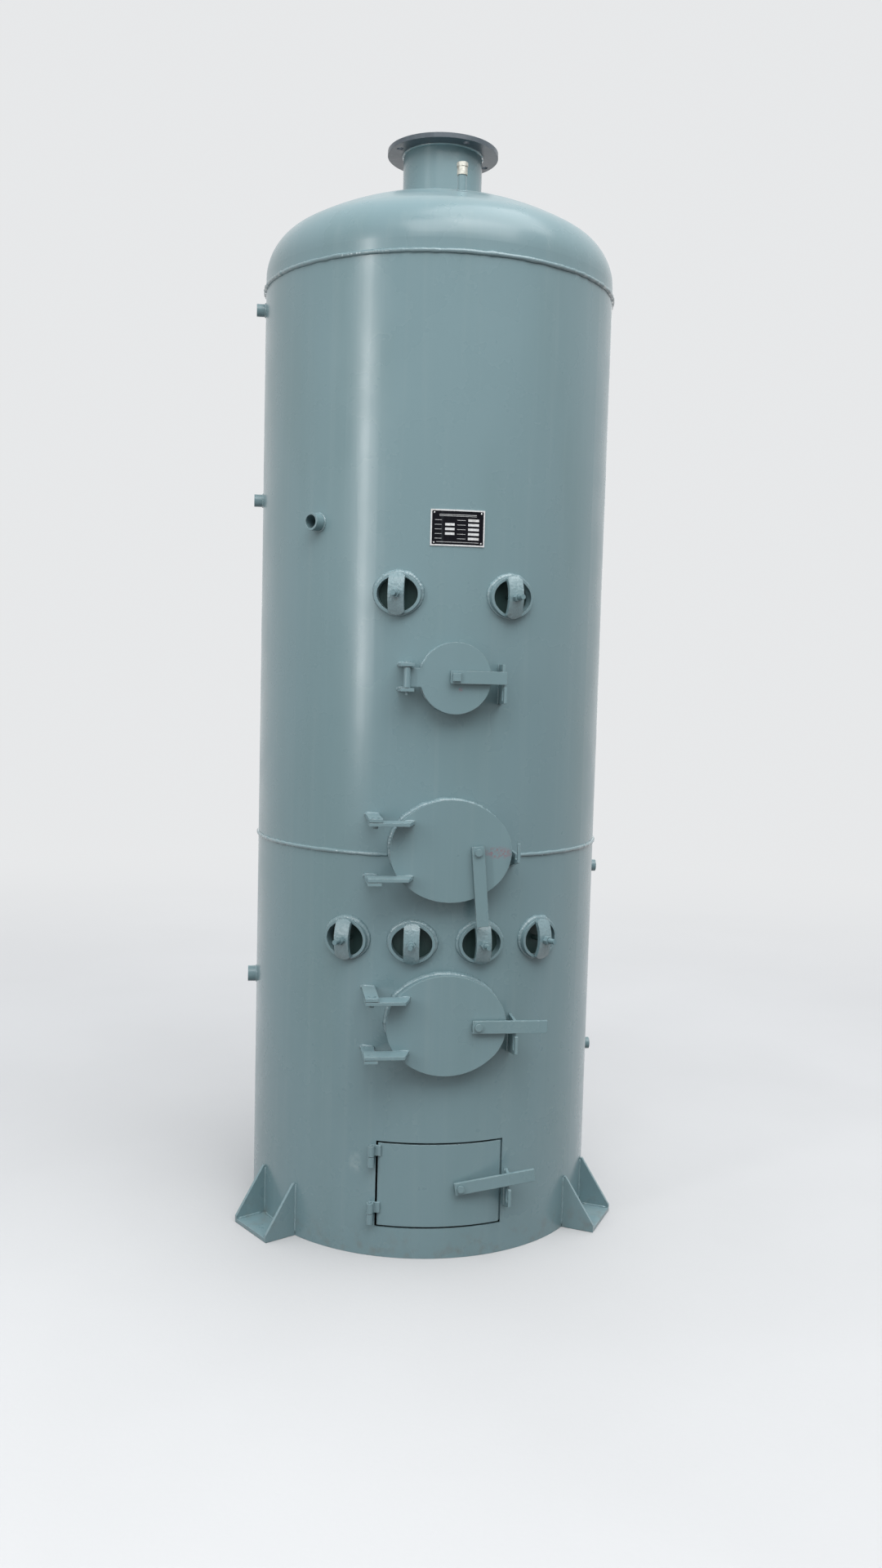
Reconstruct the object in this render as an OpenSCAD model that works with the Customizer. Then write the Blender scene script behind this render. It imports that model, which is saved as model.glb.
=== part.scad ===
/* [Shell] */
// Outer radius of the shell
shell_r = 450; // [440:1:480]
// Shell plate thickness
shell_t = 6; // [5:0.5:8]
// Height of the lower shell course, from the floor to the ring seam
lower_h = 994; // [985:1:1010]
// Height of the upper shell course, from the ring seam to the head seam
upper_h = 1398; // [1360:1:1480]
// Half angle of the front panel of each course
panel_half_deg = 54; // [50:1:58]
// Thickness of the floor plate inside the shell
floor_t = 6; // [5:1:12]

/* [Top head] */
// Straight skirt of the dished head above the seam
head_skirt = 30; // [20:1:45]
// Crown radius of the dished head
crown_r = 760; // [700:5:820]
// Knuckle radius of the dished head
knuckle_r = 130; // [110:1:150]

/* [Chimney and vent] */
// Outer radius of the chimney neck
neck_r = 102; // [95:1:110]
// Wall of the chimney neck and the flue tube
neck_t = 6; // [4:0.5:8]
// Height of the flange underside above the head seam
flange_rise = 365; // [340:1:420]
// Length of chimney neck inside the dished head
neck_root = 60; // [40:1:100]
// Outer radius of the chimney flange
flange_r = 143; // [138:1:155]
// Thickness of the chimney flange
flange_t = 12; // [10:1:20]
// Radius of the flange bolt circle
flange_bolt_r = 124; // [122:1:128]
// Radius of each flange bolt hole
flange_hole_r = 9; // [6:0.5:9]
// Number of flange bolt holes
flange_holes = 4; // [4:4:12]
// Angle of the first flange bolt hole from the front centreline
flange_hole_deg = 21; // [0:1:45]
// Distance of the vent nipple in from the side of the shell
vent_in = 140; // [120:1:170]
// Angle of the vent nipple from the front centreline
vent_deg = 1.5; // [0:0.5:5]
// Outer radius of the vent nipple
vent_r = 10.7; // [9:0.1:13]
// Bore radius of the vent nipple
vent_bore_r = 8; // [6:0.5:8.5]
// Length of nipple that shows between the head and its cap
vent_len = 35; // [25:1:50]
// Outer radius of the vent cap
vent_cap_r = 13.5; // [13.5:0.5:18]
// Height of the vent cap
vent_cap_h = 29; // [20:1:40]
// Height of the wide band at the top of the vent cap
vent_band_h = 10; // [6:1:12]
// Step from the band in to the body of the vent cap
vent_step = 1.2; // [0.5:0.1:1.5]

/* [Feet] */
// Angle of the front feet from the front centreline
foot_deg = 60; // [58:1:62]
// Distance from the shell surface to the outer edge of a foot
foot_out = 78; // [60:1:110]
// Width of a foot
foot_w = 156; // [130:1:170]
// Thickness of the foot base plate
foot_base_t = 10; // [8:1:14]
// Thickness of each gusset
gusset_t = 8; // [6:1:12]
// Height of the gussets
gusset_h = 135; // [110:1:160]
// Height of the blunt outer end of a gusset
gusset_toe = 8; // [5:1:15]

/* [Sockets] */
// Distance of the top left socket below the head seam
left_top_down = 47; // [32:1:60]
// Height of the middle left socket above the ring seam
left_mid_up = 868; // [806:1:900]
// Height of the low left socket
left_low_z = 608; // [580:1:640]
// Distance of the right socket below the ring seam
right_down = 87; // [64:1:110]
// Height of the right drain socket
drain_z = 405; // [395:1:430]
// Angle of the front left socket from the front centreline
front_socket_deg = 45; // [42:1:48]
// Height of the front left socket above the ring seam
front_socket_up = 786; // [756:1:816]
// Outer radius of the large sockets
socket_big_r = 21; // [19:0.5:24]
// Outer radius of the small sockets
socket_small_r = 16; // [14.5:0.5:18]
// Bore radius of the large sockets
socket_big_bore = 16; // [14:0.5:17]
// Bore radius of the small sockets
socket_small_bore = 11.5; // [9:0.5:12.5]
// Length of a small socket outside the shell
socket_small_out = 23; // [15:1:30]
// Length of a large socket outside the shell
socket_big_out = 28; // [16:1:40]
// Length of a socket inside the shell plate
socket_in = 8; // [6:1:15]

/* [Nameplate] */
// Width of the nameplate
plate_w = 128; // [100:1:150]
// Height of the nameplate
plate_h = 84; // [60:1:100]
// Thickness of the nameplate
plate_t = 2; // [1:0.5:3]
// Height of the centre of the nameplate above the ring seam
plate_up = 773; // [746:1:796]

/* [Handholes] */
// Distance of the lower row of handholes below the ring seam
hand_low_down = 210; // [206:1:216]
// Height of the upper row of handholes above the ring seam
hand_high_up = 617; // [611:1:646]
// Angle of the inner pair of the lower row
hand_low_in_deg = 10.5; // [10:0.1:12]
// Angle of the outer pair of the lower row
hand_low_out_deg = 31.4; // [30:0.1:33]
// Angle of the pair of the upper row
hand_high_deg = 17.3; // [15:0.1:20]
// Half width of a handhole ring
hand_a = 56; // [54:1:60]
// Half height of a handhole ring
hand_b = 49; // [46:1:51]
// Radius of the round ends of a handhole ring
hand_end_r = 42; // [40:1:44]
// Wall of a handhole ring
hand_wall = 7; // [5:0.5:8]
// Height of a handhole ring above the shell
hand_rise = 12; // [8:1:16]
// Depth of a handhole ring behind the outside of the shell
hand_depth = 14; // [12:1:20]
// Thickness of a handhole cover
hand_cover_t = 8; // [6:1:12]
// Overlap of a handhole cover behind its ring
hand_lap = 5; // [4:0.5:8]
// Width of the yoke bar
yoke_w = 38; // [30:1:44]
// Thickness of the yoke bar
yoke_t = 9; // [6:0.5:10]
// Height of the yoke arch above the ring
yoke_rise = 20; // [18:1:26]
// Half length of the yoke
yoke_half = 50; // [47:1:52]
// Radius of the rounded ends of the yoke, seen from the front
yoke_end_r = 28; // [24:1:34]
// Height of the blunt end of the yoke
yoke_toe = 4; // [2:1:6]
// Radius of the handhole stud
stud_r = 6; // [5:0.5:8]
// Length of stud beyond the top of the yoke
stud_out = 32; // [26:1:40]
// Radius of the nut over its corners
nut_r = 11; // [10.5:0.5:14]
// Height of the nut
nut_h = 12; // [8:1:16]

/* [Doors] */
// Distance of every door ring face in front of the shell axis
ring_face = 478; // [474:1:486]
// Thickness of the door plates
door_t = 10; // [8:1:12]
// Thickness of each latch bar
bar_t = 8; // [6:1:10]
// Width of each latch bar
bar_w = 30; // [24:1:32]
// Clear space between a door and its latch bar
bar_gap = 5; // [5:0.5:7]
// Length of a latch bar behind its pivot
bar_tail = 14; // [13:1:18]
// Radius of the latch pivot
pivot_r = 6; // [5:0.5:7]
// Radius of the boss behind the latch bar
boss_r = 11; // [10:0.5:13]
// Height of the pivot head in front of the latch bar
head_h = 5; // [4:0.5:8]
// Radius of a hinge pin
pin_r = 6; // [5:0.5:7]

/* [Fire doors] */
// Height of the centre of the upper fire door above the ring seam
upper_fire_up = 17; // [11:1:22]
// Distance of the centre of the lower fire door below the ring seam
lower_fire_down = 403; // [394:1:409]
// Half width of a fire door
fire_a = 145; // [140:1:148]
// Half height of a fire door
fire_b = 122; // [118:1:124]
// Radius of the round ends of a fire door
fire_end_r = 106; // [100:1:110]
// Step from the edge of a fire door in to its ring
fire_lip = 6; // [3:0.5:8]
// Wall of the ring behind a fire door
fire_ring_t = 10; // [8:1:12]
// Distance of the fire door hinge pins left of the shell axis
fire_pin_x = 183; // [180:1:188]
// Distance of the fire door hinge pins in front of the shell axis
fire_pin_y = 520; // [516:1:526]
// Width of a hinge lug
lug_w = 32; // [28:1:34]
// Thickness of the hinge lugs and hinge arms
lug_t = 8; // [6:1:10]
// Length of a lug or arm in front of its pin
lug_nose = 18; // [15:1:22]
// Height of the top hinge arm above the middle of the door
arm_up = 68; // [62:1:70]
// Height of the low hinge arm below the middle of the door
arm_down = 62; // [58:1:66]
// Distance from the shell axis to the right end of a hinge arm
arm_end_x = 88; // [84:1:95]
// Running gap between an arm and its lug
arm_gap = 1; // [0.8:0.1:1.5]
// Distance of the upper fire door latch pivot right of the shell axis
upper_pivot_x = 63; // [56:1:64]
// Length of the upper fire door latch below its pivot
upper_bar_len = 178; // [170:1:180]
// Lean of the hanging latch bar from the vertical
upper_bar_deg = 5; // [3:0.5:7]
// Distance of the lower fire door latch pivot right of the shell axis
lower_pivot_x = 75; // [70:1:80]
// Length of the lower fire door latch right of its pivot
lower_bar_len = 167; // [160:1:170]

/* [Flue door] */
// Height of the centre of the flue door above the ring seam
flue_door_up = 424; // [418:1:431]
// Radius of the flue door
flue_door_r = 84; // [84:1:90]
// Outer radius of the ring behind the flue door
flue_ring_r = 79.5; // [76:0.5:81]
// Wall of the ring behind the flue door
flue_ring_t = 6; // [5:0.5:8]
// Distance of the flue door hinge pin left of the shell axis
flue_pin_x = 115; // [113:1:120]
// Distance of the flue door hinge pin in front of the shell axis
flue_pin_y = 495; // [492:1:500]
// Radius of the flue door hinge barrel
barrel_r = 8; // [7.5:0.5:9]
// Radius of the flue door hinge pin
flue_hinge_r = 4.5; // [4:0.5:5]
// Height of the flue door hinge barrel
barrel_h = 48; // [36:1:50]
// Length of the flue door latch right of its pivot
flue_bar_len = 119; // [118:1:140]
// Height of the flue door latch pivot above the middle of the door
flue_pivot_up = 3; // [0:0.5:6]

/* [Ash door] */
// Height of the bottom edge of the ash door
ash_z = 80; // [70:1:84]
// Width of the ash door
ash_w = 302; // [290:1:306]
// Height of the ash door
ash_h = 206; // [190:1:212]
// Gap around the ash door
ash_gap = 5; // [5:0.5:7]
// Distance of the ash door hinge axis from the edge of the door
ash_pin_off = 13; // [12:0.5:16]
// Distance of the ash door hinge axis in front of the shell surface
ash_pin_out = 13.5; // [13:0.5:16]
// Radius of an ash door hinge knuckle
knuckle_barrel_r = 8; // [7:0.5:8]
// Radius of an ash door hinge pin
ash_hinge_r = 4; // [3:0.5:5]
// Height of one hinge knuckle
knuckle_h = 26; // [20:1:30]
// Length of a fixed hinge leaf from the hinge axis
leaf_len = 13; // [12:1:20]
// Reach of a moving hinge leaf onto the ash door
leaf_reach = 9; // [6:1:14]
// Thickness of a hinge leaf
leaf_t = 5; // [4:0.5:5]
// Height of the low ash door hinge above the door bottom
ash_hinge_low = 5; // [4:1:20]
// Height of the high ash door hinge above the door bottom
ash_hinge_high = 148; // [140:1:152]
// Distance of the ash door latch pivot right of the shell axis
ash_pivot_x = 49; // [44:1:54]
// Height of the ash door latch pivot
ash_pivot_z = 179.5; // [175:0.5:184]
// Length of the ash door latch beyond its pivot
ash_bar_len = 186; // [180:1:195]
// Rise of the ash door latch bar to the right
ash_bar_deg = 9.4; // [8:0.1:11]
// Width of the stop strip behind the ash door
stop_w = 30; // [24:1:36]

/* [Keepers] */
// Thickness of a keeper plate
keeper_t = 7; // [6:1:10]
// Thickness of the front lip of a keeper
keeper_lip = 9; // [7:1:12]
// Depth of steel under the throat of a keeper, at its lip
keeper_floor = 6; // [4:1:8]
// Depth of a fire or ash door keeper under its throat, at the shell
keeper_foot = 26; // [20:1:34]
// Depth of the flue door keeper under its throat, at the shell
flue_keeper_foot = 10; // [8:1:14]
// Clear space around a latch bar in a keeper
keeper_clear = 5.5; // [5:0.5:8]
// Depth of the throat of the lower fire door and ash door keepers below the top of the lip
keeper_throat = 36; // [34:1:40]
// Depth of the throat of the flue door keeper below the top of the lip
flue_keeper_throat = 32; // [31:1:36]
// Height of the lip of the upper fire door keeper above the middle of the door
upper_lip_up = 24; // [20:1:30]
// Distance of the upper fire door keeper right of the shell axis
upper_keeper_x = 157; // [157:1:166]
// Distance of the lower fire door keeper right of the shell axis
lower_keeper_x = 165; // [162:1:172]
// Distance of the flue door keeper right of the shell axis
flue_keeper_x = 113; // [110:1:114]
// Distance of the ash door keeper right of the shell axis
ash_keeper_x = 168; // [165:1:170]
// Height of the back leg of the flue door keeper above its lip
flue_keeper_back = 52; // [35:1:56]
// Height of the back leg of the lower fire door and ash door keepers above the lip
keeper_back = 34; // [20:1:40]
// Drop of the back leg of the upper fire door keeper below its lip
keeper_back_drop = 28; // [5:1:30]

/* [Furnace] */
// Width of the water space between shell and furnace
water_w = 74; // [64:1:80]
// Wall of the furnace
furnace_t = 6; // [5:0.5:10]
// Height of the jacket base ring above the floor
jacket_z = 330; // [315:1:345]
// Thickness of the jacket base ring
jacket_t = 12; // [8:1:16]
// Distance of the furnace crown below the middle of the upper handholes
crown_down = 55; // [53:1:80]
// Thickness of the furnace crown
crown_t = 8; // [6:1:12]
// Outer radius of a water grate tube
tube_r = 25.5; // [22:0.5:28]
// Wall of a water grate tube
tube_t = 3.5; // [3:0.5:5]
// Pitch of the water grate tubes
tube_pitch = 78; // [74:1:80]
// Height of the top face of the fire grate above the jacket base ring
grate_up = 108; // [100:1:115]
// Depth of the fire grate bars
grate_t = 22; // [16:1:28]
// Width of a fire grate bar
grate_bar = 16; // [12:1:20]
// Pitch of the fire grate bars
grate_pitch = 28; // [26:1:34]
// Width of the fire grate rim
grate_rim = 18; // [14:1:24]
// Height of the ring that carries the fire grate
ledge_h = 10; // [8:1:14]
// Width of the ring that carries the fire grate
ledge_w = 20; // [16:1:26]

/* [Clearances] */
// Clearance between welded or seated pieces
seat = 0.3; // [0.2:0.05:0.4]
// Radial clearance of a running pin
run = 0.1; // [0.05:0.01:0.1]

/* [Hidden] */
$fn = 96;

paint = [0.47, 0.56, 0.57];
dark_paint = [0.30, 0.38, 0.39];
zinc = [0.68, 0.70, 0.70];
cast = [0.22, 0.21, 0.20];
soot = [0.25, 0.24, 0.23];
label = [0.08, 0.08, 0.09];

// How far a cut or a part that is trimmed later runs on past the surface it meets
past = 60;

seam_z = lower_h;
head_z = lower_h + upper_h;
dome_z = head_z + head_skirt;
crown_drop = sqrt(pow(crown_r - knuckle_r, 2) - pow(shell_r - knuckle_r, 2));
flange_z = head_z + flange_rise;
inner_r = shell_r - shell_t;
neck_in_r = neck_r - neck_t;
vent_at_r = shell_r - vent_in;
flue_split_z = dome_z - crown_drop + sqrt(crown_r * crown_r - neck_r * neck_r) - neck_root;
foot_r = shell_r + foot_out;
left_top_z = head_z - left_top_down;
left_mid_z = seam_z + left_mid_up;
right_z = seam_z - right_down;
front_socket_z = seam_z + front_socket_up;
plate_z = seam_z + plate_up;
hand_low_z = seam_z - hand_low_down;
hand_high_z = seam_z + hand_high_up;
upper_fire_z = seam_z + upper_fire_up;
lower_fire_z = seam_z - lower_fire_down;
flue_door_z = seam_z + flue_door_up;
flue_pivot_z = flue_door_z + flue_pivot_up;
crown_z = hand_high_z - crown_down;
grate_z = jacket_z + grate_up;
furnace_r = inner_r - water_w;
rim_r = shell_r + hand_rise;
door_face = ring_face + seat + door_t;
bar_back = door_face + bar_gap;
ash_bar_back = shell_r + bar_gap;
ash_pin_deg = asin((ash_w / 2 + ash_pin_off) / shell_r);
ash_pin_r = shell_r + ash_pin_out;
furnace_in_r = furnace_r - furnace_t;
head_gap = 0.6;
far = shell_r + past;

// Height of the outer face of the head at radius r
function head_top(r) = dome_z - crown_drop + sqrt(crown_r * crown_r - r * r);

// Place a piece at an angle from the front centreline, with -Y pointing outwards
module at_deg(deg, z = 0) {
  rotate([0, 0, deg]) translate([0, 0, z]) children();
}

// Stand a flat outline upright and run it from y0 to y1 in front of the axis
module run_front(y0, y1) {
  translate([0, -y0, 0]) rotate([90, 0, 0]) linear_extrude(height = y1 - y0) children();
}

// Oval outline made of four arcs that meet smoothly
module oval(a, b, end_r) {
  c = a - end_r;
  d = (c * c - pow(b - end_r, 2)) / (2 * (b - end_r));
  x_meet = c + end_r * c / sqrt(c * c + d * d);
  for (s = [-1, 1]) translate([s * c, 0]) circle(end_r);
  intersection() {
    translate([0, -d]) circle(b + d);
    translate([0, d]) circle(b + d);
    square([2 * x_meet, 4 * b], center = true);
  }
}

// Part of a round wall between two angles from the front centreline
module wall(r_out, thick, height, deg0, deg1) {
  rotate([0, 0, deg0 - 90]) rotate_extrude(angle = deg1 - deg0)
    translate([r_out - thick, 0]) square([thick, height]);
}

// Half outline of a dished head above a skirt, its two arcs meeting where they are tangent
module dish_outline(r_side, r_crown, r_knuckle, skirt) {
  side_x = shell_r - knuckle_r;
  meet_x = side_x * r_crown / (crown_r - knuckle_r);
  translate([0, -skirt]) square([r_side, skirt]);
  intersection() {
    translate([0, -crown_drop]) circle(r_crown);
    square([meet_x, r_crown]);
  }
  intersection() {
    translate([side_x, 0]) circle(r_knuckle);
    translate([meet_x, 0]) square([r_knuckle, r_knuckle]);
  }
}

// Cuts through the front panel for doors, handholes and sockets
module front_cuts() {
  for (z = [upper_fire_z, lower_fire_z]) translate([0, 0, z]) run_front(0, far)
    oval(fire_a - fire_lip + seat, fire_b - fire_lip + seat, fire_end_r - fire_lip + seat);
  translate([0, 0, flue_door_z]) run_front(0, far) circle(flue_ring_r + seat);
  hand_places() run_front(0, far) oval(hand_a + seat, hand_b + seat, hand_end_r + seat);
  translate([-ash_w / 2 - ash_gap, -far, ash_z - ash_gap])
    cube([ash_w + 2 * ash_gap, far, ash_h + 2 * ash_gap]);
  at_deg(-front_socket_deg, front_socket_z) run_front(0, far) circle(socket_big_r + seat);
}

// The six places of the handholes
module hand_places() {
  for (d = [-hand_low_out_deg, -hand_low_in_deg, hand_low_in_deg, hand_low_out_deg])
    at_deg(d, hand_low_z) children();
  for (d = [-hand_high_deg, hand_high_deg]) at_deg(d, hand_high_z) children();
}

module side_cuts() {
  at_deg(-90, left_top_z) run_front(0, far) circle(socket_small_r + seat);
  at_deg(-90, left_mid_z) run_front(0, far) circle(socket_small_r + seat);
  at_deg(-90, left_low_z) run_front(0, far) circle(socket_big_r + seat);
  at_deg(90, right_z) run_front(0, far) circle(socket_small_r + seat);
  at_deg(90, drain_z) run_front(0, far) circle(socket_small_r + seat);
}

// Lower course
module lower_shell_front() {
  color(paint) difference() {
    wall(shell_r, shell_t, lower_h, -panel_half_deg, panel_half_deg);
    front_cuts();
  }
}

module lower_shell_left() {
  color(paint) difference() {
    wall(shell_r, shell_t, lower_h, -180, -panel_half_deg);
    side_cuts();
  }
}

module lower_shell_right() {
  color(paint) difference() {
    wall(shell_r, shell_t, lower_h, panel_half_deg, 180);
    side_cuts();
  }
}

// Upper course
module upper_shell_front() {
  color(paint) difference() {
    translate([0, 0, seam_z]) wall(shell_r, shell_t, upper_h, -panel_half_deg, panel_half_deg);
    front_cuts();
  }
}

module upper_shell_left() {
  color(paint) difference() {
    translate([0, 0, seam_z]) wall(shell_r, shell_t, upper_h, -180, -panel_half_deg);
    side_cuts();
  }
}

module upper_shell_right() {
  color(paint) translate([0, 0, seam_z]) wall(shell_r, shell_t, upper_h, panel_half_deg, 180);
}

// Dished head
module top_head() {
  color(paint) difference() {
    translate([0, 0, dome_z]) rotate_extrude() difference() {
      dish_outline(shell_r, crown_r, knuckle_r, head_skirt);
      dish_outline(inner_r, crown_r - shell_t, knuckle_r - shell_t, head_skirt + 1);
    }
    cylinder(r = neck_r + seat, h = flange_z);
    at_deg(vent_deg) translate([0, -vent_at_r, head_z]) cylinder(r = vent_r + seat, h = flange_rise);
  }
}

module chimney_neck() {
  color(paint) translate([0, 0, flue_split_z]) difference() {
    cylinder(r = neck_r, h = flange_z + flange_t - 2 - flue_split_z);
    translate([0, 0, -1]) cylinder(r = neck_in_r, h = flange_z + flange_t - flue_split_z);
  }
}

module chimney_flange() {
  color(dark_paint) translate([0, 0, flange_z]) difference() {
    cylinder(r = flange_r, h = flange_t);
    translate([0, 0, -1]) cylinder(r = neck_r + seat, h = flange_t + 2);
    for (i = [0 : flange_holes - 1]) rotate([0, 0, flange_hole_deg + i * 360 / flange_holes])
      translate([0, -flange_bolt_r, -1]) cylinder(r = flange_hole_r, h = flange_t + 2);
  }
}

module vent_nipple() {
  low = head_top(vent_at_r) - 2 * shell_t;
  color(zinc) at_deg(vent_deg) translate([0, -vent_at_r, low]) difference() {
    cylinder(r = vent_r, h = vent_len + 2 * shell_t);
    translate([0, 0, -1]) cylinder(r = vent_bore_r, h = vent_len + 2 * shell_t + 2);
  }
}

// Cap with a narrow body, a wide band above it and a chamfered top
module vent_cap() {
  body_r = vent_cap_r - vent_step;
  color(zinc) at_deg(vent_deg) translate([0, -vent_at_r, head_top(vent_at_r) + vent_len]) {
    cylinder(r = body_r, h = vent_cap_h - vent_band_h);
    translate([0, 0, vent_cap_h - vent_band_h]) cylinder(r = vent_cap_r, h = vent_band_h - vent_step);
    translate([0, 0, vent_cap_h - vent_step]) cylinder(r1 = vent_cap_r, r2 = body_r, h = vent_step);
  }
}

module floor_plate() {
  color(soot) cylinder(r = inner_r - seat, h = floor_t);
}

// Foot with a base plate and two gussets, standing against the shell
module foot(deg) {
  at_deg(deg) difference() {
    union() {
      translate([-foot_w / 2, -foot_r, 0]) cube([foot_w, foot_r - inner_r + past, foot_base_t]);
      for (x = [-foot_w / 2, foot_w / 2 - gusset_t])
        translate([x, 0, 0]) rotate([90, 0, 90]) linear_extrude(height = gusset_t)
          polygon([
            [-foot_r, 0], [-foot_r, foot_base_t + gusset_toe],
            [-shell_r, gusset_h], [-inner_r + past, gusset_h], [-inner_r + past, 0]
          ]);
    }
    translate([0, 0, -1]) cylinder(r = shell_r + seat, h = gusset_h + 2);
  }
}

module feet() {
  color(paint) {
    foot(-foot_deg);
    foot(foot_deg);
    foot(180);
  }
}

// Threaded socket that passes through the shell plate
module socket(deg, z, r, bore, out) {
  at_deg(deg, z) run_front(inner_r - socket_in, shell_r + out) difference() {
    circle(r);
    circle(bore);
  }
}

module sockets() {
  color(paint) {
    socket(-90, left_top_z, socket_small_r, socket_small_bore, socket_small_out);
    socket(-90, left_mid_z, socket_small_r, socket_small_bore, socket_small_out);
    socket(-90, left_low_z, socket_big_r, socket_big_bore, socket_small_out);
    socket(-front_socket_deg, front_socket_z, socket_big_r, socket_big_bore, socket_big_out);
    socket(90, right_z, socket_small_r, socket_small_bore, socket_small_out);
    socket(90, drain_z, socket_small_r, socket_small_bore, socket_small_out);
  }
}

module nameplate() {
  color(label) intersection() {
    translate([0, 0, plate_z - plate_h / 2]) difference() {
      cylinder(r = shell_r + seat + plate_t, h = plate_h);
      translate([0, 0, -1]) cylinder(r = shell_r + seat, h = plate_h + 2);
    }
    translate([-plate_w / 2, -far, 0]) cube([plate_w, far, head_z]);
  }
}

// Handholes: ring on the shell, cover behind it, yoke across it
module handhole_rings() {
  color(paint) hand_places() run_front(shell_r - hand_depth, rim_r) difference() {
    oval(hand_a, hand_b, hand_end_r);
    oval(hand_a - hand_wall, hand_b - hand_wall, hand_end_r - hand_wall);
  }
}

module handhole_covers() {
  a = hand_a - hand_wall + hand_lap;
  b = hand_b - hand_wall + hand_lap;
  front = shell_r - hand_depth - seat;
  color(dark_paint) hand_places() {
    run_front(front - hand_cover_t, front) oval(a, b, hand_end_r - hand_wall + hand_lap);
    run_front(front - 1, rim_r + yoke_rise + stud_out) circle(stud_r);
  }
}

// Outline of a yoke seen from the front, a straight bar with rounded ends
module yoke_plan() {
  half = yoke_half - yoke_end_r;
  translate([-yoke_w / 2 - 1, -half]) square([yoke_w + 2, 2 * half]);
  for (s = [-1, 1]) translate([0, s * half]) circle(yoke_end_r);
}

module handhole_yokes() {
  rise = yoke_rise - yoke_toe;
  arc_r = (yoke_half * yoke_half + rise * rise) / (2 * rise);
  arc_y = rim_r + seat + yoke_rise - arc_r;
  color(paint) difference() {
    hand_places() intersection() {
      translate([-yoke_w / 2, 0, 0]) rotate([90, 0, 90]) linear_extrude(height = yoke_w)
        translate([-arc_y, 0]) difference() {
          circle(arc_r);
          circle(arc_r - yoke_t);
        }
      run_front(rim_r + seat, rim_r + 2 * yoke_rise) yoke_plan();
    }
    hand_places() run_front(rim_r, rim_r + 2 * yoke_rise) circle(stud_r + seat);
  }
}

module handhole_nuts() {
  base = rim_r + 2 * seat + yoke_rise;
  color(paint) hand_places() run_front(base, base + nut_h) difference() {
    circle(nut_r, $fn = 6);
    circle(stud_r + run);
  }
}

// Oval ring that carries a fire door and passes through the water jacket
module fire_ring(z) {
  a = fire_a - fire_lip;
  b = fire_b - fire_lip;
  e = fire_end_r - fire_lip;
  difference() {
    translate([0, 0, z]) run_front(0, ring_face) difference() {
      oval(a, b, e);
      oval(a - fire_ring_t, b - fire_ring_t, e - fire_ring_t);
    }
    cylinder(r = furnace_r + seat, h = head_z);
  }
}

module upper_fire_door_ring() {
  color(paint) fire_ring(upper_fire_z);
}

module lower_fire_door_ring() {
  color(paint) fire_ring(lower_fire_z);
}

module flue_door_ring() {
  color(paint) difference() {
    translate([0, 0, flue_door_z]) run_front(0, ring_face) difference() {
      circle(flue_ring_r);
      circle(flue_ring_r - flue_ring_t);
    }
    cylinder(r = furnace_r + seat, h = head_z);
  }
}

// Pivot with its boss behind the latch bar and its head in front
module latch_pivot(x, z, face, square_head) {
  translate([x, 0, z]) {
    run_front(face - 1, face + bar_gap - seat) circle(boss_r);
    run_front(face - 1, face + bar_gap + bar_t + head_gap + 1) circle(pivot_r);
    run_front(face + bar_gap + bar_t + head_gap, face + bar_gap + bar_t + head_gap + head_h)
      if (square_head) square([2 * boss_r - 3, 2 * boss_r - 3], center = true); else circle(boss_r - 2);
  }
}

// Hinge arm welded across the front of a fire door
module fire_arm(z) {
  translate([0, 0, z - lug_t / 2]) difference() {
    linear_extrude(height = lug_t) polygon([
      [-fire_pin_x - lug_w / 2, -fire_pin_y - lug_nose],
      [-arm_end_x - lug_w / 2, -fire_pin_y - lug_nose],
      [-arm_end_x, -door_face + 1],
      [-fire_pin_x - lug_w / 2, -door_face + 1]
    ]);
    translate([-fire_pin_x, -fire_pin_y, -1]) cylinder(r = pin_r + run, h = lug_t + 2);
  }
}

module fire_door(z, pivot_x) {
  translate([0, 0, z]) run_front(ring_face + seat, door_face) oval(fire_a, fire_b, fire_end_r);
  fire_arm(z + arm_up);
  fire_arm(z - arm_down);
  latch_pivot(pivot_x, z, door_face, false);
}

module upper_fire_door() {
  color(paint) fire_door(upper_fire_z, upper_pivot_x);
}

module lower_fire_door() {
  color(paint) fire_door(lower_fire_z, lower_pivot_x);
}

module flue_door() {
  tab = barrel_h - 4;
  color(paint) {
    translate([0, 0, flue_door_z]) run_front(ring_face + seat, door_face) circle(flue_door_r);
    difference() {
      union() {
        translate([-flue_pin_x, -door_face, flue_door_z - tab / 2])
          cube([flue_pin_x - flue_door_r + 20, door_t, tab]);
        translate([-flue_pin_x, -flue_pin_y, flue_door_z - barrel_h / 2]) cylinder(r = barrel_r, h = barrel_h);
      }
      translate([-flue_pin_x, -flue_pin_y, flue_door_z - barrel_h / 2 - 1])
        cylinder(r = flue_hinge_r + run, h = barrel_h + 2);
    }
    latch_pivot(0, flue_pivot_z, door_face, true);
  }
}

// Curved hinge leaf on one side of the hinge axis, short on the shell and longer towards the door
module hinge_leaf(z, side) {
  reach = side > 0 ? ash_pin_off + leaf_reach : leaf_len;
  intersection() {
    at_deg(-ash_pin_deg) translate([side > 0 ? 0 : -reach, -far, z]) cube([reach, far, knuckle_h]);
    translate([0, 0, z - 1]) difference() {
      cylinder(r = shell_r + seat + leaf_t, h = knuckle_h + 2);
      translate([0, 0, -1]) cylinder(r = shell_r + seat, h = knuckle_h + 4);
    }
  }
}

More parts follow.
